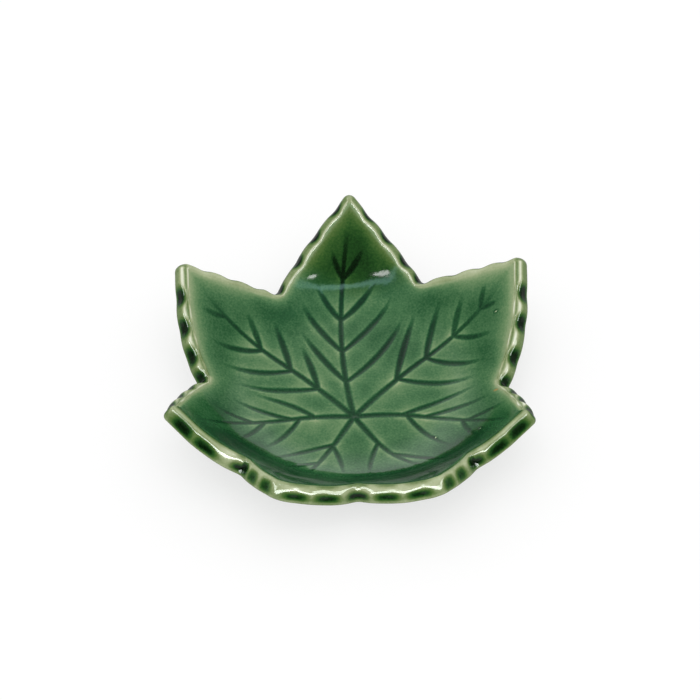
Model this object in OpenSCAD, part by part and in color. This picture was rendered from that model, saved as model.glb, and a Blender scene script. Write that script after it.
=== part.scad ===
// Leaf dish: a seven-lobed leaf of glazed clay, pressed over a shallow bowl
// form, with veins drawn into its floor, a dented rim and a foot ring below.
// Lengths are in millimetres. +Y runs to the top lobe, +Z is up, and the foot
// ring stands on Z = 0. The origin is below the middle of the leaf's outline.

/* [Leaf outline] */
// Distance from the vein hub to the corner of the top lobe
leaf_reach = 76; // [60:1:95]
// Radius that rounds the points of the five long lobes
tip_r = 2.6; // [2.2:0.1:4]
// Radius that rounds the two blunt front lobes
front_tip_r = 8; // [5:0.5:9]
// Radius inside the notches between the lobes
notch_r = 1.8; // [1.2:0.1:3]

/* [Bowl] */
// Radius of the flat floor
floor_r = 24; // [20:0.5:27]
// Radius of the sweep from the floor up into the wall
sweep_r = 36; // [28:1:50]
// Slope of the wall above the sweep, in degrees
wall_slope = 40; // [25:1:48]
// How far the middle of the bowl lies behind the vein hub
bowl_back = 14; // [10:0.5:18]

/* [Clay] */
// Thickness of the floor
floor_t = 4.6; // [3.5:0.1:6.5]
// Thickness at the rim
edge_t = 5.4; // [4.5:0.1:7]
// Width of the sloping band along the top of the rim
bevel_w = 1.5; // [1:0.1:1.7]
// Rounding of the rim's lower edge
under_r = 1.3; // [0.8:0.1:1.8]
// Depth of the dents pressed into the rim
dent_depth = 1.1; // [0.3:0.1:1.5]
// Width of one dent along the rim
dent_w = 4.6; // [3:0.1:6]

/* [Veins] */
// Width of the groove of a main vein where it leaves the hub
main_vein_w = 1.7; // [1.2:0.1:2.2]
// Width of the groove of a side vein where it leaves the main vein
side_vein_w = 1.4; // [1:0.1:1.8]
// Depth of the grooves
vein_depth = 0.7; // [0.4:0.1:1]
// How far the glaze that fills a groove stays below the clay
glaze_drop = 0.2; // [0.1:0.05:0.3]
// Radius of the pool of glaze where the main veins meet
hub_r = 2.4; // [2:0.1:3]

/* [Foot] */
// How far the foot ring stands inside the flat of the underside
foot_inset = 1.5; // [1:0.1:4]
// Width of the foot ring's standing face
foot_w = 3; // [2:0.1:5]
// Height of the foot ring
foot_h = 2.2; // [1.5:0.1:4]
// Rounding of the foot ring's lower edges
foot_edge_r = 0.6; // [0.3:0.1:0.9]

/* [Hidden] */

// Number of lobes, counted clockwise from the top one as seen from above
lobes = 7;
// Lobe corners: turn from +Y in degrees, and distance from the hub
tip_turn = [-1.4, 46.8, 100.3, 146, 209, 259.3, 310.2];
tip_reach_shares = [1, 0.925, 0.68, 0.55, 0.555, 0.715, 0.92];
// Notch corners, each one clockwise of its lobe
notch_turn = [22, 78, 123, 178, 232, 282.5, 333];
notch_reach_shares = [0.73, 0.595, 0.53, 0.41, 0.52, 0.605, 0.7];
// Outward swell of the flanks, clockwise from the top lobe, to their length
swell_shares = [0.02, 0.02, 0.05, 0.03, 0.04, 0.02, 0.03,
                0.03, 0.03, 0.06, 0.03, 0.05, 0.02, 0.03];
// Places of the dents on each flank, from its lobe's corner
dent_shares = [[0.26, 0.5, 0.76], [0.18, 0.42, 0.68], [0.27, 0.5, 0.77],
               [0.1, 0.4, 0.68], [0.29, 0.65], [0.28, 0.59], [0.24, 0.63],
               [0.22, 0.62], [0.34, 0.67], [0.27, 0.59], [0.1, 0.38, 0.66],
               [0.29, 0.55, 0.79], [0.24, 0.51, 0.78], [0.19, 0.45, 0.69]];

// Rim section: how far in from the side as a share of the band or the lower
// rounding, how far down as a share of the same, and how deep a dent is there
band_shares = [[1, 0, 0.35], [0.42, 0.2, 0.7], [0.05, 0.8, 1]];
waist_share = 0.62;
under_shares = [[0.1, 0.7], [0.4, 0.2], [1, 0]];
waist_dent_share = 0.35;

// Rings of the floor and wall between the flat and the rim
ring_shares = [0, 0.34, 0.62, 0.84];
// Spacing of the points along the flanks, and points on a rounded corner
rim_pitch = 1.45;
corner_points = 4;

// Main veins: length to leaf_reach and sideways bow
main_vein_shares = [[0.87, -0.04], [0.79, -0.035], [0.63, -0.04], [0.4, 0],
                    [0.38, 0], [0.62, 0.035], [0.79, 0.03]];
// Side veins of each lobe: start along the main vein, end along the lobe and
// end across it, clockwise side positive, to leaf_reach
side_vein_shares = [
  [[0.18, 0.46, -0.21], [0.34, 0.61, -0.21], [0.51, 0.68, -0.15], [0.74, 0.82, -0.09],
   [0.19, 0.53, 0.21], [0.34, 0.62, 0.17], [0.51, 0.7, 0.11], [0.74, 0.82, 0.05]],
  [[0.25, 0.55, -0.23], [0.42, 0.65, -0.19], [0.57, 0.72, -0.12], [0.71, 0.79, -0.07],
   [0.25, 0.5, 0.18], [0.41, 0.57, 0.15], [0.57, 0.67, 0.1]],
  [[0.19, 0.45, -0.24], [0.32, 0.52, -0.18], [0.45, 0.59, -0.11],
   [0.19, 0.42, 0.12], [0.42, 0.51, 0.09]],
  [[0.24, 0.46, -0.17], [0.12, 0.28, 0.13], [0.26, 0.36, 0.07]],
  [[0.16, 0.4, 0.17], [0.28, 0.41, 0.09], [0.17, 0.29, -0.11]],
  [[0.14, 0.37, 0.18], [0.23, 0.46, 0.16], [0.39, 0.53, 0.1],
   [0.22, 0.39, -0.13], [0.36, 0.49, -0.1]],
  [[0.2, 0.41, 0.15], [0.35, 0.57, 0.17], [0.51, 0.67, 0.11],
   [0.2, 0.47, -0.19], [0.34, 0.56, -0.17], [0.5, 0.66, -0.12], [0.69, 0.76, -0.06]]];
// Outward bow of a side vein to its length, and how far its groove narrows
side_bow_share = 0.07;
vein_end_share = 0.55;
// How much of the glaze's depth a straight piece of groove may lose where it
// bridges the bowl's curve
bridge_share = 0.4;

// Overrun of the cuts past what they cut
overrun = 2;

// Plan of the outline, with the vein hub at zero
function heading(turn, reach) = [reach * sin(turn), reach * cos(turn)];
function unit(v) = v / norm(v);
function wrap(i, n) = (i + n) % n;
function is_tip(i) = i % 2 == 0;
corners = [for (i = [0:lobes - 1], tip = [true, false])
  tip ? heading(tip_turn[i], leaf_reach * tip_reach_shares[i])
      : heading(notch_turn[i], leaf_reach * notch_reach_shares[i])];
corner_count = 2 * lobes;
function is_front(i) = i == 6 || i == 8;
function corner_r(i) = is_front(i) ? front_tip_r : is_tip(i) ? tip_r : notch_r;
function to_prev(i) = unit(corners[wrap(i - 1, corner_count)] - corners[i]);
function to_next(i) = unit(corners[wrap(i + 1, corner_count)] - corners[i]);
function half_angle(i) = acos(to_prev(i) * to_next(i)) / 2;
function setback(i) = corner_r(i) / tan(half_angle(i));
function corner_mid(i) =
  corners[i] + unit(to_prev(i) + to_next(i)) * corner_r(i) / sin(half_angle(i));

// Dents: a flank's own, and one in each notch
function bump(distance) = exp(-1.2 * pow(2 * distance / dent_w, 2));
function flank_dent(i, along, whole) =
  let (from_tip = is_tip(i) ? along : whole - along,
       near_notch = max(whole - from_tip - notch_r, 0))
  min(1, bump(near_notch)
         + max([for (s = dent_shares[i]) bump(from_tip - s * whole)]));

// One entry for each point round the rim: place, outward direction, dent
function corner_entries(i) =
  let (mid = corner_mid(i),
       a = corners[i] + to_prev(i) * setback(i) - mid,
       b = corners[i] + to_next(i) * setback(i) - mid)
  [for (k = [0:corner_points - 1])
    let (s = (k + 0.5) / corner_points,
         out = unit(unit(a) * (1 - s) + unit(b) * s))
    [mid + out * corner_r(i), is_tip(i) ? out : -out, is_tip(i) ? 0 : 1]];
function flank_entries(i) =
  let (j = wrap(i + 1, corner_count),
       start = corners[i] + to_next(i) * setback(i),
       finish = corners[j] + to_prev(j) * setback(j),
       run = norm(finish - start),
       whole = norm(corners[j] - corners[i]),
       forward = unit(finish - start),
       side = [-forward[1], forward[0]],
       swell = swell_shares[i] * whole,
       count = 2 * ceil(run / rim_pitch / 2))
  [for (k = [0:count - 1])
    let (s = (k + 0.5) / count,
         lean = swell * PI * cos(180 * s) / run)
    [start + forward * run * s + side * swell * sin(180 * s),
     unit(side - forward * lean),
     flank_dent(i, setback(i) + s * run, whole)]];
rim = [for (i = [0:corner_count - 1], e = concat(corner_entries(i), flank_entries(i))) e];
rim_count = len(rim);

// Bowl form: flat floor, round sweep, straight wall
bowl_mid = [0, bowl_back];
sweep_w = sweep_r * sin(wall_slope);
function reach_of(p) = norm(p - bowl_mid);
function swept(p) = min(max(reach_of(p) - floor_r, 0), sweep_w);
function slope_at(p) = asin(swept(p) / sweep_r);
function height_at(p) =
  sweep_r * (1 - cos(slope_at(p)))
  + max(reach_of(p) - floor_r - sweep_w, 0) * tan(wall_slope);
function clay_at(p) = floor_t + (edge_t - floor_t) * swept(p) / sweep_w;
function up_at(p) =
  let (away = reach_of(p) > 0 ? (p - bowl_mid) / reach_of(p) : [0, 0], a = slope_at(p))
  [-away[0] * sin(a), -away[1] * sin(a), cos(a)];
function clay_point(p, down) = [p[0], p[1], height_at(p)] - down * up_at(p);
// Point of the rim section, in from the side and down from the top face
function rim_point(e, inward, down, dent) =
  clay_point(e[0] - e[1] * (inward + dent * dent_depth * e[2]), down);
function rim_row(inward, down, from_below, dent) =
  [for (e = rim) rim_point(e, inward, from_below ? clay_at(e[0]) - down : down, dent)];
function rim_inner(e, inward) = e[0] - e[1] * inward;
function ring_row(share, inward, below) =
  [for (i = [0:2:rim_count - 1])
    let (outer = rim_inner(rim[i], inward),
         inner = bowl_mid + unit(outer - bowl_mid) * floor_r,
         p = inner + (outer - inner) * share)
    clay_point(p, below ? clay_at(p) : 0)];

// The clay as closed rows of points, from the middle of the top face over the
// rim to the middle of the underside
top_rings = [for (s = ring_shares) ring_row(s, bevel_w, false)];
band_rows = [for (b = band_shares)
  rim_row(b[0] * bevel_w, b[1] * bevel_w, false, b[2])];
waist_row = [for (e = rim)
  rim_point(e, 0, clay_at(e[0]) * waist_share, waist_dent_share)];
under_rows = [for (u = under_shares)
  rim_row(u[0] * under_r, u[1] * under_r, true, 0)];
under_rings = [for (k = [len(ring_shares) - 1:-1:0])
  ring_row(ring_shares[k], under_r, true)];
rim_rows = concat(band_rows, [waist_row], under_rows);
half_count = rim_count / 2;
shell_points = concat(
  [clay_point(bowl_mid, 0)],
  [for (row = top_rings, p = row) p],
  [for (row = rim_rows, p = row) p],
  [for (row = under_rings, p = row) p],
  [clay_point(bowl_mid, floor_t)]);
top_start = 1;
rim_start = top_start + len(top_rings) * half_count;
under_start = rim_start + len(rim_rows) * rim_count;
last_point = under_start + len(under_rings) * half_count;
// Triangles between two rows of the same count, from the inner to the outer
function strip(a, b, n) = [for (i = [0:n - 1]) let (j = (i + 1) % n)
  each [[a + i, b + i, b + j], [a + i, b + j, a + j]]];
// Triangles between a row and one of twice its count
function widen(a, b, n) = [for (i = [0:n - 1]) let (j = (i + 1) % n, k = 2 * i)
  each [[a + i, b + k, b + k + 1], [a + i, b + k + 1, a + j],
        [a + j, b + k + 1, b + (k + 2) % (2 * n)]]];
function flip(faces) = [for (f = faces) [f[0], f[2], f[1]]];
shell_faces = concat(
  [for (i = [0:half_count - 1]) [0, top_start + i, top_start + (i + 1) % half_count]],
  [for (k = [0:len(top_rings) - 2])
    each strip(top_start + k * half_count, top_start + (k + 1) * half_count, half_count)],
  widen(rim_start - half_count, rim_start, half_count),
  [for (k = [0:len(rim_rows) - 2])
    each strip(rim_start + k * rim_count, rim_start + (k + 1) * rim_count, rim_count)],
  flip(widen(under_start, under_start - rim_count, half_count)),
  [for (k = [0:len(under_rings) - 2])
    each strip(under_start + k * half_count, under_start + (k + 1) * half_count, half_count)],
  [for (i = [0:half_count - 1])
    [last_point, last_point - half_count + (i + 1) % half_count,
     last_point - half_count + i]]);

// Place of the vein hub on the top of the floor, so that the outline's middle
// is over the origin and the foot stands on Z = 0
all_x = [for (p = shell_points) p[0]];
all_y = [for (p = shell_points) p[1]];
hub_place = [-(max(all_x) + min(all_x)) / 2, -(max(all_y) + min(all_y)) / 2,
             foot_h + floor_t];

module leaf_shell() {
  polyhedron(points = shell_points, faces = shell_faces, convexity = 8);
}

// A groove's cutter: a cone square to the clay with its point at the bottom of
// the groove, drawn along the vein
module cutter(p, w) {
  turn = reach_of(p) > 0 ? atan2(p[1] - bowl_mid[1], p[0] - bowl_mid[0]) : 0;
  translate(clay_point(p, vein_depth))
    rotate([0, -slope_at(p), turn])
      rotate([0, 0, -turn])
        cylinder(h = vein_depth + overrun, r1 = 0,
                 r2 = w / 2 * (vein_depth + overrun) / vein_depth, $fn = 6);
}
module groove(path, w_start, w_end) {
  count = len(path) - 1;
  for (i = [0:count - 1]) {
    w_a = w_start + (w_end - w_start) * i / count;
    w_b = w_start + (w_end - w_start) * (i + 1) / count;
    hull() {
      cutter(path[i], w_a);
      cutter(path[i + 1], w_b);
    }
  }
}

// Plan of the veins: along the lobe and across it, in pieces short enough to
// follow the bowl
groove_piece = sqrt(8 * sweep_r * (vein_depth - glaze_drop) * bridge_share);
function pieces(reach) = ceil(reach / groove_piece);
function lobe_point(k, along, across) =
  heading(tip_turn[k], along) + across * [cos(tip_turn[k]), -sin(tip_turn[k])];
function main_across(k, along) =
  let (s = along / (main_vein_shares[k][0] * leaf_reach))
  main_vein_shares[k][1] * leaf_reach * 4 * s * (1 - s);
function main_path(k) =
  let (reach = main_vein_shares[k][0] * leaf_reach, n = pieces(reach))
  [for (i = [0:n])
    let (along = reach * i / n) lobe_point(k, along, main_across(k, along))];
function side_path(k, v) =
  let (from = v[0] * leaf_reach,
       start = [from, main_across(k, from)],
       finish = [v[1], v[2]] * leaf_reach,
       run = finish - start,
       out = [-run[1], run[0]] * side_bow_share * sign(v[2]),
       n = pieces(norm(run)))
  [for (i = [0:n])
    let (s = i / n, q = start + run * s + out * 4 * s * (1 - s))
    lobe_point(k, q[0], q[1])];
module lobe_grooves(k) {
  groove(main_path(k), main_vein_w, main_vein_w * vein_end_share);
  for (v = side_vein_shares[k])
    groove(side_path(k, v), side_vein_w, side_vein_w * vein_end_share);
}
module all_grooves() {
  for (k = [0:lobes - 1]) lobe_grooves(k);
}
module hub_column() {
  translate([0, 0, -floor_t]) cylinder(h = floor_t + overrun, r = hub_r, $fn = 24);
}

module leaf_body() {
  color("#6b9a63")
    difference() {
      translate(hub_place) leaf_shell();
      translate(hub_place) all_grooves();
    }
}

module foot_ring() {
  outer = floor_r - foot_inset;
  color("#c9b48e")
    translate([hub_place[0], hub_place[1] + bowl_back, 0])
      rotate_extrude($fn = 96)
        polygon([[outer - foot_w, foot_h], [outer - foot_w, foot_edge_r],
                 [outer - foot_w + foot_edge_r, 0], [outer - foot_edge_r, 0],
                 [outer, foot_edge_r], [outer, foot_h]]);
}

module hub_glaze() {
  color("#1d4a2b")
    translate(hub_place)
      intersection() {
        all_grooves();
        hub_column();
        translate([0, 0, -glaze_drop]) leaf_shell();
      }
}

module vein_glaze(k) {
  color("#1d4a2b")
    translate(hub_place)
      difference() {
        intersection() {
          lobe_grooves(k);
          translate([0, 0, -glaze_drop]) leaf_shell();
        }
        hub_column();
      }
}

leaf_body();
foot_ring();
hub_glaze();
vein_glaze(0);  // top_vein_glaze
vein_glaze(1);  // upper_right_vein_glaze
vein_glaze(2);  // lower_right_vein_glaze
vein_glaze(3);  // front_right_vein_glaze
vein_glaze(4);  // front_left_vein_glaze
vein_glaze(5);  // lower_left_vein_glaze
vein_glaze(6);  // upper_left_vein_glaze
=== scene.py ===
import bpy
import bmesh
import math
import numpy as np
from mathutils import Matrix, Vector, kdtree, noise


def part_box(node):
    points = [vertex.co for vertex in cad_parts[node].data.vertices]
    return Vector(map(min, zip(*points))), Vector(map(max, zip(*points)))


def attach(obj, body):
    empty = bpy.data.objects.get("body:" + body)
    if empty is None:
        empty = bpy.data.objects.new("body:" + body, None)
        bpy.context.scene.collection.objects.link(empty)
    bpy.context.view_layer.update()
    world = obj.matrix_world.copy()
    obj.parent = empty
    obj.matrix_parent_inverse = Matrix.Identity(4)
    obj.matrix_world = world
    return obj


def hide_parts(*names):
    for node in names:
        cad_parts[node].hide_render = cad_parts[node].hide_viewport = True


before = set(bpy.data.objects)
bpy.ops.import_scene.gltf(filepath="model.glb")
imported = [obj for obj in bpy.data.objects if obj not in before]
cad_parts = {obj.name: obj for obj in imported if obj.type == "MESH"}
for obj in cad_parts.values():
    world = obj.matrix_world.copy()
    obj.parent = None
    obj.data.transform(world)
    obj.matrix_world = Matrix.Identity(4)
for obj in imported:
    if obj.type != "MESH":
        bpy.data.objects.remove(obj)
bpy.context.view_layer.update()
mm = 0.001

# Plan of the leaf, from the point where the main veins meet: turns in degrees clockwise
# from +Y, lobes in order from the top one, the reach in mm and the others as shares of it,
# swells as shares of a side's length, radii and the gap between points in mm
leafPlan = {
    "reach": 76,
    "tipTurns": [-1.4, 46.8, 100.3, 146, 209, 259.3, 310.2],
    "tipReaches": [1, 0.925, 0.68, 0.55, 0.555, 0.715, 0.92],
    "notchTurns": [22, 78, 123, 178, 232, 282.5, 333],
    "notchReaches": [0.73, 0.595, 0.53, 0.41, 0.52, 0.605, 0.7],
    "tipRadius": 2.6,
    "frontTipRadius": 8,
    "notchRadius": 1.8,
    "frontTips": (3, 4),
    "swells": [0.02, 0.02, 0.05, 0.03, 0.04, 0.02, 0.03,
               0.03, 0.03, 0.06, 0.03, 0.05, 0.02, 0.03],
    "pointGap": 0.42,
    "cornerPoints": 4,
}
# The bowl form that the sheet of clay is pressed over, in mm
bowlForm = {
    "floorRadius": 24,
    "sweepRadius": 36,
    "wallSlope": math.radians(40),
    "back": 14,
    "floorThick": 4.6,
    "edgeThick": 5.4,
    "footHigh": 2.2,
}
# Dents pressed into the rim, in mm: places on each side of a lobe, as shares from its tip,
# and how far a dent and the glaze in it reach, as shares of its width
rimDents = {
    "places": [[0.26, 0.5, 0.76], [0.18, 0.42, 0.68], [0.27, 0.5, 0.77],
               [0.1, 0.4, 0.68], [0.29, 0.65], [0.28, 0.59], [0.24, 0.63],
               [0.22, 0.62], [0.34, 0.67], [0.27, 0.59], [0.1, 0.38, 0.66],
               [0.29, 0.55, 0.79], [0.24, 0.51, 0.78], [0.19, 0.45, 0.69]],
    "widths": [4.6, 4.6, 5.2, 3.8, 7.0, 3.6, 6.4, 6.4, 3.6, 7.0, 3.8, 5.2, 4.6, 4.6],
    "depths": [0.75, 0.5, 0.75, 0.6, 0.4, 0.25, 0.45, 0.45, 0.25, 0.4, 0.6, 0.75, 0.5, 0.75],
    "pools": [1, 1, 1, 1, 1, 0.75, 0.9, 0.9, 0.75, 1, 1, 1, 1, 1],
    "notchWide": 4.6,
    "notchDepth": 0.9,
    "reach": 0.46,
    "sharp": 2,
    "poolReach": 0.5,
    "poolSharp": 3.4,
}
# Sections of the rim by the way it faces: mm in from the side, mm down from the
# top face, share of a dent's depth, how thick the glaze lies (its near-0 values on some side and
# slant ridges are a painted highlight), share of the pool in a dent
rimSection = {
    "rows": 31,
    "front": [
        (2.3, 0.0, 0.1, 0.62, 0), (1.9, -0.14, 0.12, 0.56, 0.1), (1.45, -0.26, 0.16, 0.38, 0.2),
        (1.05, -0.18, 0.22, 0.18, 0.22), (0.68, 0.14, 0.28, 0.12, 0.15),
        (0.38, 0.72, 0.38, 0.11, 0),
        (0.19, 1.4, 0.46, 0.1, 0), (0.08, 2.15, 0.55, 0.12, 0.35), (0.02, 2.85, 0.8, 0.16, 0.95),
        (0.0, 3.45, 1.0, 0.19, 1), (0.0, 4.0, 1.0, 0.2, 0.6), (0.06, 4.5, 0.9, 0.17, 0.15),
        (0.24, 4.92, 0.8, 0.18, 0.05), (0.75, 5.28, 0.3, 0.22, 0), (1.65, 5.4, 0.0, 0.42, 0)],
    "flank": [
        (2.3, 0.0, 0.1, 0.62, 0), (1.85, -0.1, 0.12, 0.62, 0), (1.4, -0.2, 0.16, 0.56, 0),
        (0.98, -0.22, 0.2, 0.3, 0), (0.56, -0.03, 0.22, 0.12, 0), (0.2, 0.5, 0.26, 0.1, 0.1),
        (0.09, 1.15, 0.42, 0.14, 0.55), (0.06, 1.95, 0.75, 0.17, 0.95), (0.02, 2.8, 1.0, 0.2, 1),
        (0.0, 3.45, 1.0, 0.21, 1), (0.0, 4.0, 0.95, 0.2, 0.75), (0.06, 4.5, 0.8, 0.18, 0.35),
        (0.24, 4.92, 0.5, 0.17, 0.05), (0.75, 5.28, 0.2, 0.2, 0), (1.65, 5.4, 0.0, 0.42, 0)],
    # Glaze at 0 on the crest row (1.8 in) and on the outer ridge rows (0.57, 0.33 in) is a
    # painted highlight: pale lines standing in for the glints on these ridges
    "side": [
        (2.3, 0.0, 0.0, 0.17, 0), (2.05, -0.05, -0.15, 0.12, 0), (1.8, -0.15, -0.3, 0.0, 0.25),
        (1.55, -0.08, -0.1, 0.12, 0), (1.15, 0.06, 0.3, 0.26, 0), (0.82, 0.3, 0.9, 0.12, 0),
        (0.57, 0.59, 1.0, 0.0, 0.35), (0.33, 0.88, 1.0, 0.02, 0.6), (0.17, 1.32, 1.0, 0.14, 0.9),
        (0.06, 2.0, 1.0, 0.22, 1), (0.0, 2.8, 1.0, 0.25, 1), (0.04, 3.6, 0.85, 0.26, 0.8),
        (0.2, 4.4, 0.55, 0.24, 0.3), (0.7, 5.2, 0.2, 0.25, 0), (1.65, 5.4, 0.0, 0.42, 0)],
    # The thin glaze on the crest rows (1.75, 1.52 in) is partly glaze thinning over the edge and
    # partly a painted highlight: a pale line where the top lobe's crest glints
    "slant": [
        (2.3, 0.0, 0.45, 0.2, 0), (2.0, -0.03, 0.6, 0.18, 0), (1.75, -0.11, 0.7, 0.08, 0),
        (1.52, -0.1, 0.8, 0.03, 0), (1.25, 0.06, 0.8, 0.17, 0), (0.95, 0.22, 0.85, 0.22, 0.05),
        (0.68, 0.42, 0.9, 0.24, 0.3), (0.45, 0.68, 0.9, 0.24, 0.7), (0.26, 1.05, 0.85, 0.24, 1),
        (0.1, 1.7, 0.7, 0.25, 1), (0.0, 2.6, 0.6, 0.27, 1), (0.04, 3.6, 0.4, 0.28, 0.8),
        (0.2, 4.4, 0.2, 0.24, 0.3), (0.7, 5.2, 0.0, 0.25, 0), (1.65, 5.4, 0.0, 0.42, 0)],
    "back": [
        (2.3, 0.0, 0.25, 0.16, 0), (2.0, 0.0, 0.35, 0.14, 0), (1.65, 0.0, 0.5, 0.12, 0),
        (1.3, 0.01, 0.65, 0.1, 0), (0.95, 0.06, 0.8, 0.1, 0), (0.65, 0.2, 0.95, 0.11, 0),
        (0.42, 0.42, 1.0, 0.13, 0.3), (0.26, 0.7, 1.0, 0.15, 0.8), (0.14, 1.1, 1.0, 0.18, 1),
        (0.04, 1.8, 1.0, 0.22, 1), (0.0, 2.7, 0.9, 0.25, 1), (0.04, 3.6, 0.5, 0.26, 0.8),
        (0.2, 4.4, 0.12, 0.24, 0.3), (0.7, 5.2, 0.0, 0.25, 0), (1.65, 5.4, 0.0, 0.42, 0)],
    # how much of each section, by how far the rim faces back (-1 faces the camera)
    "facing": [-0.95, -0.78, -0.25, 0.25, 0.6, 0.75, 0.95],
    "shares": {"front": [1, 0, 0, 0, 0, 0, 0],
               "flank": [0, 1, 0, 0, 0, 0, 0],
               "side": [0, 0, 1, 1, 0, 0, 0],
               "slant": [0, 0, 0, 0, 1, 1, 0],
               "back": [0, 0, 0, 0, 0, 0, 1]},
}
# The grids of the leaf's face and underside, in mm: size of a square, how far the grid
# stays from the side, and the marks that its points get beside the rim's row numbers
leafMesh = {
    "startRadius": 30,
    "faceGap": 0.36,
    "faceInset": 2.6,
    "faceMark": 100,
    "underGap": 1.3,
    "underInset": 1.7,
    "underMark": 200,
    "clear": 0.55,       # and this share of a square more
    "veinRows": 3,       # rows of the rim that a vein may reach
}
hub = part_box("hub_glaze")
hubPlace = np.array([(hub[0].x + hub[1].x) / 2 / mm, (hub[0].y + hub[1].y) / 2 / mm,
                     bowlForm["footHigh"] + bowlForm["floorThick"]])


def heading(turn, reach):
    a = math.radians(turn)
    return np.array([math.sin(a), math.cos(a)]) * reach


def unit(v):
    return v / np.linalg.norm(v)


def smooth(x, a, b):
    t = np.clip((x - a) / (b - a), 0, 1)
    return t * t * (3 - 2 * t)


def leafCorners():
    reach = leafPlan["reach"]
    corners = []
    for k in range(7):
        corners.append(heading(leafPlan["tipTurns"][k], reach * leafPlan["tipReaches"][k]))
        corners.append(heading(leafPlan["notchTurns"][k], reach * leafPlan["notchReaches"][k]))
    return corners


def cornerRadius(i):
    if i % 2:
        return leafPlan["notchRadius"]
    return leafPlan["frontTipRadius" if i // 2 in leafPlan["frontTips"] else "tipRadius"]


def walkRim():
    # place and outward direction of each point round the leaf, and where the dents sit
    corners = leafCorners()
    n = len(corners)
    places, outs, marks = [], [], []
    for i in range(n):
        toPrev = unit(corners[i - 1] - corners[i])
        toNext = unit(corners[(i + 1) % n] - corners[i])
        half = math.acos(toPrev @ toNext) / 2
        radius = cornerRadius(i)
        back = radius / math.tan(half)
        mid = corners[i] + unit(toPrev + toNext) * radius / math.sin(half)
        a = unit(corners[i] + toPrev * back - mid)
        b = unit(corners[i] + toNext * back - mid)
        turn = math.acos(max(-1, min(1, a @ b)))
        count = max(leafPlan["cornerPoints"], round(turn * radius / leafPlan["pointGap"]))
        if i % 2:
            marks.append((len(places) + count / 2, turn * radius / 2,
                          rimDents["notchWide"], rimDents["notchDepth"], 1))
        for k in range(count):
            s = (k + 0.5) / count
            out = (a * math.sin((1 - s) * turn) + b * math.sin(s * turn)) / math.sin(turn)
            places.append(mid + out * radius)
            outs.append(-out if i % 2 else out)
        j = (i + 1) % n
        ahead = unit(corners[(j + 1) % n] - corners[j])
        halfNext = math.acos(-toNext @ ahead) / 2
        backNext = cornerRadius(j) / math.tan(halfNext)
        start = corners[i] + toNext * back
        finish = corners[j] - toNext * backNext
        run = np.linalg.norm(finish - start)
        whole = np.linalg.norm(corners[j] - corners[i])
        forward = unit(finish - start)
        side = np.array([-forward[1], forward[0]])
        swell = leafPlan["swells"][i] * whole
        count = 2 * math.ceil(run / leafPlan["pointGap"] / 2)
        for share in rimDents["places"][i]:
            along = (1 - share if i % 2 else share) * whole
            marks.append((len(places) + count * (along - back) / run, 0,
                          rimDents["widths"][i], rimDents["depths"][i], rimDents["pools"][i]))
        for k in range(count):
            s = (k + 0.5) / count
            lean = swell * math.pi * math.cos(math.pi * s) / run
            places.append(start + forward * run * s + side * swell * math.sin(math.pi * s))
            outs.append(unit(side - forward * lean))
    return np.array(places), np.array(outs), marks


def rimBumps(places, marks, reachShare, sharp, deep):
    # the dents by the distance along the rim: their depth, or how much glaze pools there
    step = np.linalg.norm(np.roll(places, -1, axis=0) - places, axis=1)
    along = np.concatenate([[0], np.cumsum(step)[:-1]])
    total = step.sum()
    out = np.zeros(len(places))
    for index, flatHalf, width, depth, pool in marks:
        spot = np.interp(index, np.arange(len(places)), along)
        gap = np.abs(along - spot)
        gap = np.maximum(np.minimum(gap, total - gap) - flatHalf, 0)
        high = depth if deep else pool
        out = np.maximum(out, high * np.exp(-(gap / (width * reachShare)) ** sharp))
    return out


def sectionRows(name):
    # a smooth curve through the points of a section
    keys = np.array(rimSection[name])
    t = np.linspace(0, len(keys) - 1, rimSection["rows"])
    i = np.minimum(t.astype(int), len(keys) - 2)
    t = (t - i)[:, None]
    keys = np.vstack([2 * keys[0] - keys[1], keys, 2 * keys[-1] - keys[-2]])
    a, b, c, d = (keys[i + k] for k in range(4))
    return 0.5 * (2 * b + (c - a) * t + (2 * a - 5 * b + 4 * c - d) * t ** 2
                  + (3 * b - a - 3 * c + d) * t ** 3)


def rimShapes(outs):
    # for each point round the rim, the rows of its section
    shapes = 0
    for name, shares in rimSection["shares"].items():
        share = np.interp(outs[:, 1], rimSection["facing"], shares)
        shapes = shapes + share[:, None, None] * sectionRows(name)
    return shapes


def pressOver(p, down):
    # points of the flat sheet, so far down below its face, laid on the bowl form
    floorRadius, sweepRadius = bowlForm["floorRadius"], bowlForm["sweepRadius"]
    away = p - np.array([0, bowlForm["back"]])
    reach = np.linalg.norm(away, axis=1)
    sweepWide = sweepRadius * math.sin(bowlForm["wallSlope"])
    swept = np.clip(reach - floorRadius, 0, sweepWide)
    slope = np.arcsin(swept / sweepRadius)
    high = sweepRadius * (1 - np.cos(slope))
    beyond = np.clip(reach - floorRadius - sweepWide, 0, None)
    high += beyond * math.tan(bowlForm["wallSlope"])
    away = away / np.maximum(reach, 1e-6)[:, None]
    thicker = bowlForm["edgeThick"] - bowlForm["floorThick"]
    clay = bowlForm["floorThick"] + thicker * swept / sweepWide
    down = down * clay / bowlForm["edgeThick"]
    return np.column_stack([p[:, 0] + away[:, 0] * np.sin(slope) * down,
                            p[:, 1] + away[:, 1] * np.sin(slope) * down,
                            high - np.cos(slope) * down])


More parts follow.
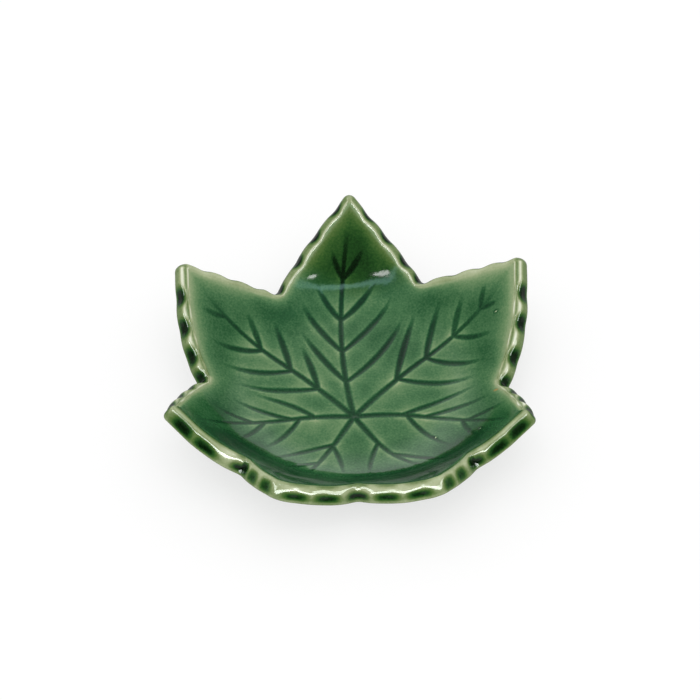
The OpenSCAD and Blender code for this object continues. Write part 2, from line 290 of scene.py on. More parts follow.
# Main veins: length, sideways bow and turn of the end. Side veins: where each leaves the
# main vein, where it ends along and across the lobe, and its bow. All as shares of the
# leaf's reach, widths and the gap between points in mm
leafVeins = {
    "main": [(0.87, -0.042, -0.01), (0.79, -0.028, 0), (0.63, -0.055, 0.03),
             (0.38, 0, -0.065), (0.38, 0, 0), (0.62, 0.035, -0.03), (0.79, 0.023, 0)],
    "side": [
        [(0.18, 0.455, -0.205, 0.03), (0.34, 0.6, -0.205, 0.035), (0.51, 0.675, -0.14, 0.03),
         (0.7, 0.803, -0.075, 0.03), (0.18, 0.52, 0.21, 0.07), (0.34, 0.615, 0.168, 0.04),
         (0.51, 0.69, 0.105, 0.03), (0.7, 0.812, 0.058, 0.03)],
        [(0.25, 0.555, -0.228, 0.015), (0.42, 0.655, -0.183, 0.025), (0.57, 0.72, -0.118, 0.03),
         (0.71, 0.79, -0.065, 0.04), (0.26, 0.49, 0.192, 0.07), (0.42, 0.56, 0.162, 0.07),
         (0.57, 0.665, 0.102, 0.07), (0.71, 0.765, 0.035, 0.05)],
        [(0.18, 0.45, -0.228, 0), (0.27, 0.52, -0.168, 0), (0.44, 0.59, -0.103, 0.02),
         (0.2, 0.41, 0.112, 0.045), (0.42, 0.51, 0.09, 0.06)],
        [(0.24, 0.46, -0.17, 0.03), (0.16, 0.29, 0.125, 0.05)],
        [(0.16, 0.38, 0.165, 0.02), (0.28, 0.41, 0.09, 0.05), (0.17, 0.29, -0.115, 0.05)],
        [(0.15, 0.37, 0.18, 0.05), (0.24, 0.46, 0.152, -0.02), (0.39, 0.53, 0.094, -0.03),
         (0.21, 0.385, -0.125, 0.05), (0.35, 0.485, -0.097, 0.04)],
        [(0.2, 0.405, 0.145, 0.02), (0.35, 0.565, 0.16, 0.015), (0.51, 0.665, 0.105, 0.02),
         (0.2, 0.46, -0.185, 0.045), (0.34, 0.55, -0.16, 0.04), (0.5, 0.65, -0.118, 0.06),
         (0.69, 0.76, -0.06, 0.05)]],
    "pointGap": 0.15,
    "mainWide": 2.7,
    "mainTaper": 0.36,
    "sideWide": 2.3,
    "sideShape": (0.86, 0.22, 1.1, 0.3),   # width at the start, belly, its place, taper
    "fullLobes": (0, 1, 6),
    "fuller": 0.2,
    "slimmest": 0.68,    # a short vein's width, and the points of one with its full width
    "fullPoints": 110,
    "topFade": 0.88,     # where a vein starts to fade, as a share of its length
    "mainFade": 0.8,
    "sideFade": 0.6,
    "fadePower": 1.5,
}


def fadeOut(s, start):
    return 1 - max(0, (s - start) / (1 - start)) ** leafVeins["fadePower"]


def sideWidth(s, lobe):
    first, belly, early, taper = leafVeins["sideShape"]
    wide = first + belly * math.sin(math.pi * min(1, early * s)) - taper * s * s
    if lobe in leafVeins["fullLobes"]:
        wide += leafVeins["fuller"] * math.sin(math.pi * s)
    return leafVeins["sideWide"] / 2 * wide


def veinPoints():
    # points along every vein, each with its half width, its strength and its vein's number
    reach = leafPlan["reach"]
    out, vein = [], 0
    for k in range(7):
        lead = heading(leafPlan["tipTurns"][k], 1)
        across = np.array([lead[1], -lead[0]])
        length, bow, tipTurn = leafVeins["main"][k]

        def mainAcross(a):
            s = a / length
            return bow * 4 * s * (1 - s) + tipTurn * s ** 3

        steps = int(length * reach / leafVeins["pointGap"])
        fadeFrom = leafVeins["mainFade"] if k else leafVeins["topFade"]
        for i in range(steps + 1):
            s = i / steps
            a = length * s
            wide = leafVeins["mainWide"] / 2 * (1 - leafVeins["mainTaper"] * s)
            out.append((*(lead * a + across * mainAcross(a)) * reach,
                        wide, fadeOut(s, fadeFrom), vein))
        vein += 1
        for start, endAlong, endAcross, sideBow in leafVeins["side"][k]:
            a = np.array([start, mainAcross(start)])
            run = np.array([endAlong, endAcross]) - a
            bend = np.array([-run[1], run[0]]) * sideBow * math.copysign(1, endAcross)
            steps = int(np.linalg.norm(run) * reach / leafVeins["pointGap"])
            slim = leafVeins["slimmest"]
            slim += (1 - slim) * min(1, steps / leafVeins["fullPoints"])
            for i in range(steps + 1):
                s = i / steps
                q = a + run * s + bend * 4 * s * (1 - s)
                out.append((*(lead * q[0] + across * q[1]) * reach, sideWidth(s, k) * slim,
                            fadeOut(s, leafVeins["sideFade"]), vein))
            vein += 1
    return np.array(out)


def secondVein(veins, points):
    # distance to the second nearest vein, read off a 1 mm grid, from every third point
    farAway = 99.0
    low, high = points.min(0) - 1, points.max(0) + 1
    xs, ys = np.arange(low[0], high[0] + 1), np.arange(low[1], high[1] + 1)
    gx, gy = np.meshgrid(xs, ys, indexing="ij")
    best = np.full(gx.shape, farAway)
    second = best.copy()
    for vein in np.unique(veins[:, 4]):
        own = veins[veins[:, 4] == vein][::3]
        far = np.full(gx.shape, farAway)
        for px, py in own[:, :2]:
            far = np.minimum(far, np.hypot(gx - px, gy - py))
        second = np.minimum(second, np.maximum(best, far))
        best = np.minimum(best, far)
    fx, fy = points[:, 0] - low[0], points[:, 1] - low[1]
    ix, iy = fx.astype(int), fy.astype(int)
    fx, fy = fx - ix, fy - iy
    return ((1 - fx) * (1 - fy) * second[ix, iy] + fx * (1 - fy) * second[ix + 1, iy]
            + (1 - fx) * fy * second[ix, iy + 1] + fx * fy * second[ix + 1, iy + 1])


def treeOf(points):
    tree = kdtree.KDTree(len(points))
    for i, p in enumerate(points):
        tree.insert((p[0], p[1], 0), i)
    tree.balance()
    return tree


def nearest(tree, points):
    # the nearest point's number and how far it is
    found = [tree.find((x, y, 0)) for x, y in points]
    return np.array([f[1] for f in found]), np.array([f[2] for f in found])


def selectOnly(bm, verts):
    # in edit mode, these points and nothing else
    for group in (bm.faces, bm.edges, bm.verts):
        for part in group:
            part.select = False
    for v in verts:
        v.select = True
    bm.select_flush_mode()


def addSheet(data, places, outs, inset, gap, down):
    # a grid of clay inside the leaf, trimmed back from the rim
    low, high = places.min(0), places.max(0)
    mid, span = (low + high) / 2, (high - low).max()
    cells = int(span / gap)
    bpy.ops.mesh.primitive_grid_add(x_subdivisions=cells, y_subdivisions=cells, size=span,
                                    location=(mid[0], mid[1], -down))
    bm = bmesh.from_edit_mesh(data)
    rowLayer = bm.verts.layers.int["rimRow"]
    new = [v for v in bm.verts if v[rowLayer] == 0]
    spots = np.array([v.co[:2] for v in new])
    index, far = nearest(treeOf(places), spots)
    deep = -((spots - places[index]) * outs[index]).sum(1)
    keep = (deep > 0) & (far > inset + gap * leafMesh["clear"])
    selectOnly(bm, [v for v, k in zip(new, keep) if not k])
    bpy.ops.mesh.delete(type="VERT")
    while True:  # corners of the grid that hang by a point
        bm = bmesh.from_edit_mesh(data)
        rowLayer = bm.verts.layers.int["rimRow"]
        loose = [v for v in bm.verts if v[rowLayer] == 0
                 and (sum(e.is_boundary for e in v.link_edges) > 2 or not v.link_faces
                      or any(not e.link_faces for e in v.link_edges))]
        if not loose:
            break
        selectOnly(bm, loose)
        bpy.ops.mesh.delete(type="VERT")


def fillGap(data, ringRow, mark):
    # closes the strip between a rim row and the new sheet
    bm = bmesh.from_edit_mesh(data)
    rowLayer = bm.verts.layers.int["rimRow"]
    selectOnly(bm, [])
    bm.select_mode = {"EDGE"}
    for e in bm.edges:
        rows = {v[rowLayer] for v in e.verts}
        e.select = e.is_boundary and (rows == {ringRow} or rows == {0})
    bm.select_flush_mode()
    bmesh.update_edit_mesh(data)
    bpy.ops.mesh.select_mode(type="EDGE")
    bpy.ops.mesh.fill(use_beauty=True)
    bpy.ops.mesh.select_mode(type="VERT")
    bm = bmesh.from_edit_mesh(data)
    rowLayer = bm.verts.layers.int["rimRow"]
    for v in bm.verts:
        if v[rowLayer] == 0:
            v[rowLayer] = mark


print("leaf: rim")
rimPlaces, rimOuts, dentMarks = walkRim()
rimDent = rimBumps(rimPlaces, dentMarks, rimDents["reach"], rimDents["sharp"], True)
rimPool = rimBumps(rimPlaces, dentMarks, rimDents["poolReach"], rimDents["poolSharp"], False)
rimShape = rimShapes(rimOuts)
rimCount = len(rimPlaces)
bpy.ops.object.select_all(action="DESELECT")
bpy.ops.mesh.primitive_circle_add(vertices=rimCount, radius=leafMesh["startRadius"],
                                  location=(0, 0, 0))
leaf = bpy.context.object
leaf.name = "glazedLeaf"
data = leaf.data
bpy.ops.object.mode_set(mode="EDIT")
bm = bmesh.from_edit_mesh(data)
bm.verts.layers.int.new("rimRow")
bm.verts.ensure_lookup_table()
ring = list(range(rimCount))


def placeRing(bm, ring, row):
    # one row of the rim's section, all the way round the flat leaf
    inward, down, share = rimShape[:, row, :3].T
    p = rimPlaces - rimOuts * (inward + share * rimDent)[:, None]
    rowLayer = bm.verts.layers.int["rimRow"]
    for k, i in enumerate(ring):
        bm.verts[i].co = (p[k][0], p[k][1], -down[k])
        bm.verts[i][rowLayer] = row + 1


placeRing(bm, ring, 0)
for row in range(1, rimSection["rows"]):
    selectOnly(bm, [bm.verts[i] for i in ring])
    bpy.ops.mesh.extrude_region_move()
    bm = bmesh.from_edit_mesh(data)
    bm.verts.ensure_lookup_table()
    nextRing = []
    old = set(ring)
    for i in ring:
        other = [e.other_vert(bm.verts[i]) for e in bm.verts[i].link_edges]
        nextRing.append([v.index for v in other if v.select and v.index not in old][0])
    ring = nextRing
    placeRing(bm, ring, row)
print("leaf: face and underside")
addSheet(data, rimPlaces, rimOuts, leafMesh["faceInset"], leafMesh["faceGap"], 0)
fillGap(data, 1, leafMesh["faceMark"])
addSheet(data, rimPlaces, rimOuts, leafMesh["underInset"], leafMesh["underGap"],
         bowlForm["edgeThick"])
fillGap(data, rimSection["rows"], leafMesh["underMark"])
bpy.ops.mesh.select_all(action="SELECT")
bpy.ops.mesh.normals_make_consistent(inside=False)
bm = bmesh.from_edit_mesh(data)
print("leaf: triangles", sum(len(f.verts) - 2 for f in bm.faces),
      "open edges", sum(not e.is_manifold for e in bm.edges))
bpy.ops.object.mode_set(mode="OBJECT")

print("leaf: pressed over the bowl form")
# How uneven the clay is, in mm. Places are in the plan of the leaf
clayLook = {
    "veinDip": 0.16,                 # how deep a vein lies in the mesh
    "dipFade": (0.85, 26, 38),       # share of it that is lost up the wall, from and to
    "wave": 0.09,
    "waves": [(9, 3.1), (24, 8.4)],  # size and seed
    "rimWave": 0.22,
    "rimWaves": (11, 5.7),
    "rimReach": 9,
    "hubBump": 0.25,
    "hubBumpAt": (0.3, -0.55),
    "hubBumpWide": 0.8,
    "pinholes": [(24.0, -8.6), (36.9, -8.8), (43.2, 34.5)],
    "holeEdge": (0.2, 0.42),
    "holeBrim": (0.5, 0.9),
    "holeDeep": 0.12,
}
# How thick the glaze lies: 0 where it breaks over an edge, and on some rim ridges where a pale
# painted highlight stands in for a glint, 1 where it pools. Two values are from where to where in
# mm, three are how much and from where to where, unless a note says
glazeLook = {
    "floor": 0.48,
    "floorFar": (0.07, 20, 38),
    "floorNear": (0.05, 3, 16),
    "wall": 0.68,
    "wallFrom": (33, 45),            # from the middle of the bowl
    "wallFar": (0.06, 44, 54),
    "wallNear": (0.18, 5, 25),
    "cloud": 0.1,
    "clouds": [(1, 10, 2.2), (0.5, 4, 6.6)],   # share, size and seed
    "beside": 0.1,                   # thinner beside a vein, and where two meet
    "besideWide": 1.7,
    "corner": 0.2,
    "cornerFrom": 1.2,
    "cornerWide": 1.5,
    "thinOnWall": 0.75,
    "vein": 0.76,
    "veinOnWall": 0.06,
    "veinFar": (0.06, 8, 24),
    "veinTip": (0.1, 40, 52),
    "veinEdge": (0.35, 1.05),        # of a vein's half width
    # where the glaze ran a little thicker or thinner: place, width, depth
    "pools": [(-22, 41, 7, 0.13), (14, 27, 8, 0.11), (32, 36, 7, -0.1),
              (-31, 36, 6, -0.08), (-17, -24, 10, -0.06), (25, -24, 9, 0.05)],
    "topTip": (0.14, 5, 14),         # thinner toward the top lobe's tip
    "backFrom": (-16, 6),            # where the front edge's look turns to the back's
    "edge": 0.12,
    "edgeInFront": 0.42,
    "edgeFrom": 2.1,
    "edgeWide": 1.2,                 # width of the pale band, and where it grows
    "edgeWideBehind": 3.0,
    "edgeWideTip": (1.7, 46, 54),
    "edgeWideNotch": 0.35,
    "edgeWidePastNotch": (0.65, 5, 18),
    "rimPool": 0.75,
    "rimCloud": (0.05, 5, 9.9),      # share, size and seed
    "under": 0.5,
    "holeBrim": 0.25,
    "speck": (42.2, 6.2),
    "speckLength": 2,
    "speckEdge": (0.2, 0.5),
    "warmFrom": (44, 54),            # where the glaze turns olive
    "warmLean": 0.3,
    "warmRows": (2, 5),              # rows of the rim
}


def waves(points, size, seed):
    return np.array([noise.noise(Vector((x / size + seed, y / size, seed))) for x, y in points])


def farFrom(plan, place):
    return np.linalg.norm(plan - np.array(place), axis=1)


def surveyLeaf(data):
    # what is known of each point of the flat leaf
    count = len(data.vertices)
    flat = np.zeros(count * 3, np.float32)
    data.vertices.foreach_get("co", flat)
    flat = flat.reshape(-1, 3).astype(float)
    rows = np.zeros(count, np.int32)
    data.attributes["rimRow"].data.foreach_get("value", rows)
    plan = flat[:, :2]
    onRim = (rows >= 1) & (rows <= rimSection["rows"])
    isFace = rows == leafMesh["faceMark"]
    rimIndex, rimFar = nearest(treeOf(rimPlaces), plan)
    veins = veinPoints()
    veinIndex, veinFar = nearest(treeOf(veins), plan)
    hole, brim = np.zeros(count), np.zeros(count)
    for place in clayLook["pinholes"]:
        holeFar = farFrom(plan, place)
        hole = np.maximum(hole, 1 - smooth(holeFar, *clayLook["holeEdge"]))
        brim = np.maximum(brim, 1 - smooth(holeFar, *clayLook["holeBrim"]))
    return {"plan": plan, "down": -flat[:, 2], "rows": rows, "onRim": onRim, "isFace": isFace,
            "isUnder": rows == leafMesh["underMark"],
            "topSide": isFace | (onRim & (rows <= leafMesh["veinRows"])),
            "away": farFrom(plan, (0, bowlForm["back"])),
            "rimIndex": rimIndex, "rimFar": rimFar, "hole": hole, "brim": brim,
            "veinFar": veinFar, "half": veins[veinIndex, 2], "strength": veins[veinIndex, 3],
            "secondFar": secondVein(veins, plan)}


def pressLeaf(data, spots):
    # vein grooves and unevenness, then the whole sheet over the bowl form
    plan, down = spots["plan"], spots["down"]
    across = np.clip(spots["veinFar"] / spots["half"], 0, 1)
    groove = 0.5 * (1 + np.cos(math.pi * across)) * spots["strength"]
    groove = np.where(spots["topSide"], groove, 0)
    lost, start, end = clayLook["dipFade"]
    shallow = 1 - lost * smooth(spots["away"], start, end)
    nearRim = 1 - smooth(spots["rimFar"], 0, clayLook["rimReach"])
    uneven = sum(waves(plan, *kind) * clayLook["wave"] for kind in clayLook["waves"])
    rimUneven = waves(plan, *clayLook["rimWaves"]) * clayLook["rimWave"]
    down = (down + groove * clayLook["veinDip"] * shallow
            + np.where(spots["isFace"] | spots["onRim"], uneven * (1 - nearRim), 0))
    down = down + np.where(spots["isUnder"], 0, rimUneven * nearRim)
    hubFar = farFrom(plan, clayLook["hubBumpAt"])
    bump = clayLook["hubBump"] * np.exp(-(hubFar / clayLook["hubBumpWide"]) ** 2)
    down = down - np.where(spots["isFace"], bump, 0)
    down = down + np.where(spots["isFace"], clayLook["holeDeep"] * spots["hole"], 0)
    placed = pressOver(plan, down)
    placed[:, :2] += hubPlace[:2]
    placed[:, 2] += hubPlace[2]
    data.vertices.foreach_set("co", (placed * mm).astype(np.float32).ravel())


def rampUp(x, name):
    more, start, end = glazeLook[name]
    return more * smooth(x, start, end)


def faceDepth(spots):
    # the glaze on the floor, the walls and in the veins
    plan = spots["plan"]
    y = plan[:, 1]
    wall = smooth(spots["away"], *glazeLook["wallFrom"])
    wallDepth = glazeLook["wall"] + rampUp(-y, "wallNear") + rampUp(y, "wallFar")
    floorDepth = glazeLook["floor"] + rampUp(y, "floorFar") + rampUp(-y, "floorNear")
    depth = floorDepth + (wallDepth - floorDepth) * wall
    fromVein = np.maximum(spots["veinFar"] - spots["half"], 0)
    fromSecond = np.maximum(spots["secondFar"] - glazeLook["cornerFrom"], 0)
    beside = np.exp(-fromVein / glazeLook["besideWide"])
    corner = beside * np.exp(-fromSecond / glazeLook["cornerWide"])
    thin = ((glazeLook["beside"] * beside + glazeLook["corner"] * corner)
            * spots["strength"] * (1 - glazeLook["thinOnWall"] * wall))
    clouds = sum(share * waves(plan, size, seed) for share, size, seed in glazeLook["clouds"])
    depth = depth + glazeLook["cloud"] * clouds - thin
    veinAt = (glazeLook["vein"] + glazeLook["veinOnWall"] * wall
              + rampUp(y, "veinFar") + rampUp(y, "veinTip"))
    inVein = (1 - smooth(spots["veinFar"] / spots["half"], *glazeLook["veinEdge"]))
    depth = depth + (veinAt - depth) * np.where(spots["topSide"], inVein * spots["strength"], 0)
    for poolX, poolY, wide, more in glazeLook["pools"]:
        depth = depth + more * np.exp(-((plan[:, 0] - poolX) ** 2 + (y - poolY) ** 2) / wide ** 2)
    return depth


def edgeDepth(spots, depth):
    # paler toward the rim, in a wide band behind and a narrow one in front
    plan = spots["plan"]
    y = plan[:, 1]
    corners = leafCorners()
    notchFar = np.min([farFrom(plan, notch) for notch in corners[1::2]], axis=0)
    more, start, end = glazeLook["topTip"]
    depth = depth - more * (1 - smooth(farFrom(plan, corners[0]), start, end))
    behind = smooth(y, *glazeLook["backFrom"])
    wider = glazeLook["edgeWideBehind"] - rampUp(y, "edgeWideTip")
    pastNotch = glazeLook["edgeWideNotch"] + rampUp(notchFar, "edgeWidePastNotch")
    wide = glazeLook["edgeWide"] + wider * behind * pastNotch
    inside = 1 - np.exp(-np.maximum(spots["rimFar"] - glazeLook["edgeFrom"], 0) / wide)
    edgeAt = glazeLook["edge"] + glazeLook["edgeInFront"] * (1 - behind)
    return edgeAt + (depth - edgeAt) * inside


def glazeMarks(spots):
    # how thick the glaze lies, with painted highlights on some rim ridges, how olive it is and
    # where the speck sits
    plan, rows, isFace = spots["plan"], spots["rows"], spots["isFace"]
    depth = edgeDepth(spots, faceDepth(spots))
    section = rimShape[spots["rimIndex"], np.clip(rows - 1, 0, rimSection["rows"] - 1)]
    # the rim's glaze values include painted highlights: the near-0 rows on the side and slant
    # ridges
    rimGlazeAndGlints = section[:, 3] + section[:, 4] * rimPool[spots["rimIndex"]] * glazeLook["rimPool"]
    share, size, seed = glazeLook["rimCloud"]
    rimGlazeAndGlints = rimGlazeAndGlints + share * waves(plan, size, seed)
    depth = np.where(spots["onRim"], rimGlazeAndGlints, depth)
    depth = np.where(spots["isUnder"], glazeLook["under"], depth)
    holed = (depth + glazeLook["holeBrim"] * spots["brim"]) * (1 - spots["hole"])
    depth = np.where(isFace, holed, depth)
    fromSpeck = (plan - np.array(glazeLook["speck"])) / np.array([glazeLook["speckLength"], 1])
    speck = 1 - smooth(np.linalg.norm(fromSpeck, axis=1), *glazeLook["speckEdge"])
    upTop = smooth(plan[:, 1] - glazeLook["warmLean"] * np.abs(plan[:, 0]),
                   *glazeLook["warmFrom"])
    warm = np.where(isFace, upTop, smooth(rows, *glazeLook["warmRows"]))
    return {"glazeDepthAndGlints": depth, "glazeWarm": warm, "glazeSpeck": np.where(isFace, speck, 0)}


leafSpots = surveyLeaf(data)
pressLeaf(data, leafSpots)
for name, values in glazeMarks(leafSpots).items():
    made = data.attributes.new(name, "FLOAT", "POINT")
    made.data.foreach_set("value", np.clip(values, 0, 1).astype(np.float32))
data.update()
data.attributes.remove(data.attributes["rimRow"])
bpy.ops.object.select_all(action="DESELECT")
leaf.select_set(True)
bpy.context.view_layer.objects.active = leaf
bpy.ops.object.shade_smooth()

print("foot ring")
# The ring that the dish stands on, in mm
footRing = {
    "centre": (hubPlace[0], hubPlace[1] + bowlForm["back"]),
    "inner": 19.5,
    "outer": 22.5,
    "top": 2.6,
    "edge": 0.6,
    "edgeSteps": 5,
    "steps": 160,
    "smoothAngle": math.radians(40),
}


def makeFoot():
    width = footRing["outer"] - footRing["inner"]
    middle = (footRing["outer"] + footRing["inner"]) / 2
    x, y = footRing["centre"]
    sectionPlace = ((x + middle) * mm, y * mm, footRing["top"] / 2 * mm)
    bpy.ops.object.select_all(action="DESELECT")
    bpy.ops.mesh.primitive_plane_add(size=1, location=sectionPlace, rotation=(math.pi / 2, 0, 0))
    foot = bpy.context.object
    foot.name = "footRing"
    foot.scale = (width * mm, footRing["top"] * mm, 1)
    bpy.ops.object.transform_apply(location=True, rotation=True, scale=True)
    bpy.ops.object.mode_set(mode="EDIT")
    bm = bmesh.from_edit_mesh(foot.data)
    selectOnly(bm, [v for v in bm.verts if v.co.z < 0.1 * mm])
    bmesh.update_edit_mesh(foot.data)
    bpy.ops.mesh.bevel(offset=footRing["edge"] * mm, segments=footRing["edgeSteps"],
                       affect="VERTICES")
    bpy.ops.mesh.select_all(action="SELECT")
    bpy.ops.mesh.delete(type="ONLY_FACE")
    bpy.ops.mesh.select_all(action="SELECT")
    bpy.ops.mesh.spin(steps=footRing["steps"], angle=2 * math.pi, center=(x * mm, y * mm, 0),
                      axis=(0, 0, 1))
    bpy.ops.mesh.select_all(action="SELECT")
    bpy.ops.mesh.remove_doubles(threshold=0.01 * mm)
    bpy.ops.mesh.normals_make_consistent(inside=False)
    bpy.ops.object.mode_set(mode="OBJECT")
    bpy.ops.object.shade_smooth_by_angle(angle=footRing["smoothAngle"])
    return foot


foot = makeFoot()

print("materials")
# The glaze by how thick it lies, on the floor of the dish and on its walls and rim; its palest
# shade is also a painted highlight on some rim ridges.
# Noise has its scale and detail, relief its strength and height in m
glaze = {
    "floor": [(0.0, (232, 236, 214)), (0.07, (188, 197, 158)), (0.16, (152, 169, 127)),
              (0.3, (110, 143, 98)), (0.46, (72, 116, 74)), (0.62, (39, 88, 50)),
              (0.78, (17, 61, 33)), (1.0, (6, 34, 20))],
    "wall": [(0.0, (232, 236, 214)), (0.07, (186, 195, 158)), (0.14, (154, 167, 124)),
             (0.24, (112, 133, 84)), (0.38, (82, 112, 56)), (0.52, (56, 94, 42)),
             (0.66, (34, 74, 30)), (0.82, (16, 46, 16)), (1.0, (6, 22, 6))],
    "speck": (160, 134, 78),
    "rough": 0.07,
    "ior": 1.5,
    "mottle": 0.06,
    "mottleNoise": (130, 4),
    "grain": 0.65,
    "grainDepth": 0.5,       # where the glaze is thicker the grain grows no more
    "grainNoise": (1500, 3),
    "peelNoise": (420, 2),
    "peelRelief": (0.25, 0.00008),
}
# The foot: glazed sides, bare clay where it stands
footLook = {
    "clay": [(0.3, (186, 164, 132)), (0.7, (222, 206, 178))],
    "clayRough": 0.75,
    "clayNoise": (900, 5),
    "clayRelief": (0.5, 0.0001),
    "glaze": (40, 84, 40),
    "glazeLine": (0.00105, 0.00118),   # height where the glaze ends, in m
    "lineWave": 0.0008,
    "lineNoise": (160, 2),
}


def colour(r, g, b):
    def part(c):
        c = c / 255
        return c / 12.92 if c <= 0.04045 else ((c + 0.055) / 1.055) ** 2.4
    return (part(r), part(g), part(b), 1)


def newMaterial(name):
    material = bpy.data.materials.new(name)
    material.use_nodes = True
    nodes = material.node_tree.nodes
    nodes.clear()
    out = nodes.new("ShaderNodeOutputMaterial")
    return material, nodes, material.node_tree.links, out


def mapRange(nodes, links, value, fromMin, fromMax, toMin=0, toMax=1):
    node = nodes.new("ShaderNodeMapRange")
    node.inputs["From Min"].default_value = fromMin
    node.inputs["From Max"].default_value = fromMax
    node.inputs["To Min"].default_value = toMin
    node.inputs["To Max"].default_value = toMax
    links.new(value, node.inputs["Value"])
    return node.outputs["Result"]


def doMath(nodes, links, kind, *parts):
    node = nodes.new("ShaderNodeMath")
    node.operation = kind
    for i, part in enumerate(parts):
        if isinstance(part, (int, float)):
            node.inputs[i].default_value = part
        else:
            links.new(part, node.inputs[i])
    return node.outputs[0]


def addNoise(nodes, links, place, scale, detail):
    node = nodes.new("ShaderNodeTexNoise")
    node.inputs["Scale"].default_value = scale
    node.inputs["Detail"].default_value = detail
    links.new(place, node.inputs["Vector"])
    return node.outputs["Fac"]


def addRamp(nodes, links, value, stops):
    ramp = nodes.new("ShaderNodeValToRGB")
    made = ramp.color_ramp.elements
    while len(made) < len(stops):
        made.new(0.5)
    for stop, (place, shade) in zip(made, stops):
        stop.position = place
        stop.color = shade
    links.new(value, ramp.inputs["Fac"])
    return ramp.outputs["Color"]


def readMark(nodes, name):
    node = nodes.new("ShaderNodeAttribute")
    node.attribute_name = name
    return node.outputs["Fac"]


def mixColours(nodes, links, share, first, second):
    node = nodes.new("ShaderNodeMix")
    node.data_type = "RGBA"
    links.new(share, node.inputs["Factor"])
    for socket, part in (("A", first), ("B", second)):
        if isinstance(part, tuple):
            node.inputs[socket].default_value = part
        else:
            links.new(part, node.inputs[socket])
    return node.outputs["Result"]


def mixShaders(nodes, links, share, first, second):
    node = nodes.new("ShaderNodeMixShader")
    for i, part in enumerate((share, first, second)):
        links.new(part, node.inputs[i])
    return node.outputs[0]


def addRelief(nodes, links, height, strength, distance):
    node = nodes.new("ShaderNodeBump")
    node.inputs["Strength"].default_value = strength
    node.inputs["Distance"].default_value = distance
    links.new(height, node.inputs["Height"])
    return node.outputs["Normal"]


def shadesOf(stops):
    return [(place, colour(*rgb)) for place, rgb in stops]


def glazeMaterial(name):
    material, nodes, links, out = newMaterial(name)
    place = nodes.new("ShaderNodeTexCoord").outputs["Object"]
    # the attribute holds the glaze's thickness and, on some rim ridges, painted highlights
    depth = readMark(nodes, "glazeDepthAndGlints")
    clouds = addNoise(nodes, links, place, *glaze["mottleNoise"])
    clouds = doMath(nodes, links, "MULTIPLY_ADD", clouds, glaze["mottle"] * 2, -glaze["mottle"])
    grain = addNoise(nodes, links, place, *glaze["grainNoise"])
    grain = doMath(nodes, links, "SUBTRACT", grain, 0.5)
    grain = doMath(nodes, links, "MULTIPLY", grain, glaze["grain"])
    held = doMath(nodes, links, "MINIMUM", depth, glaze["grainDepth"])
    grain = doMath(nodes, links, "MULTIPLY", grain, held)
    total = doMath(nodes, links, "ADD", depth, doMath(nodes, links, "ADD", clouds, grain))
    tint = mixColours(nodes, links, readMark(nodes, "glazeWarm"),
                      addRamp(nodes, links, total, shadesOf(glaze["floor"])),
                      addRamp(nodes, links, total, shadesOf(glaze["wall"])))
    tint = mixColours(nodes, links, readMark(nodes, "glazeSpeck"), tint,
                      colour(*glaze["speck"]))
    peel = addNoise(nodes, links, place, *glaze["peelNoise"])
    shader = nodes.new("ShaderNodeBsdfPrincipled")
    shader.inputs["Roughness"].default_value = glaze["rough"]
    shader.inputs["IOR"].default_value = glaze["ior"]
    links.new(tint, shader.inputs["Base Color"])
    links.new(addRelief(nodes, links, peel, *glaze["peelRelief"]), shader.inputs["Normal"])
    links.new(shader.outputs["BSDF"], out.inputs["Surface"])
    return material


def footMaterial(name):
    material, nodes, links, out = newMaterial(name)
    place = nodes.new("ShaderNodeTexCoord").outputs["Object"]
    clay = nodes.new("ShaderNodeBsdfPrincipled")
    clay.inputs["Roughness"].default_value = footLook["clayRough"]
    grain = addNoise(nodes, links, place, *footLook["clayNoise"])
    links.new(addRamp(nodes, links, grain, shadesOf(footLook["clay"])),
              clay.inputs["Base Color"])
    links.new(addRelief(nodes, links, grain, *footLook["clayRelief"]), clay.inputs["Normal"])
    green = nodes.new("ShaderNodeBsdfPrincipled")
    green.inputs["Roughness"].default_value = glaze["rough"]
    green.inputs["IOR"].default_value = glaze["ior"]
    green.inputs["Base Color"].default_value = colour(*footLook["glaze"])
    split = nodes.new("ShaderNodeSeparateXYZ")
    links.new(place, split.inputs[0])
    wobble = addNoise(nodes, links, place, *footLook["lineNoise"])
    line = doMath(nodes, links, "MULTIPLY_ADD", wobble, footLook["lineWave"],
                  split.outputs["Z"])
    glazed = mapRange(nodes, links, line, *footLook["glazeLine"])
    both = mixShaders(nodes, links, glazed, clay.outputs["BSDF"], green.outputs["BSDF"])
    links.new(both, out.inputs["Surface"])
    return material


leaf.data.materials.clear()
leaf.data.materials.append(glazeMaterial("greenGlaze"))
foot.data.materials.clear()
foot.data.materials.append(footMaterial("footClay"))
glazeNodes = [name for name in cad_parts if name.endswith("_glaze")]
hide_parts("leaf_body", *glazeNodes)
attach(leaf, "root")
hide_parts("foot_ring")
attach(foot, "root")

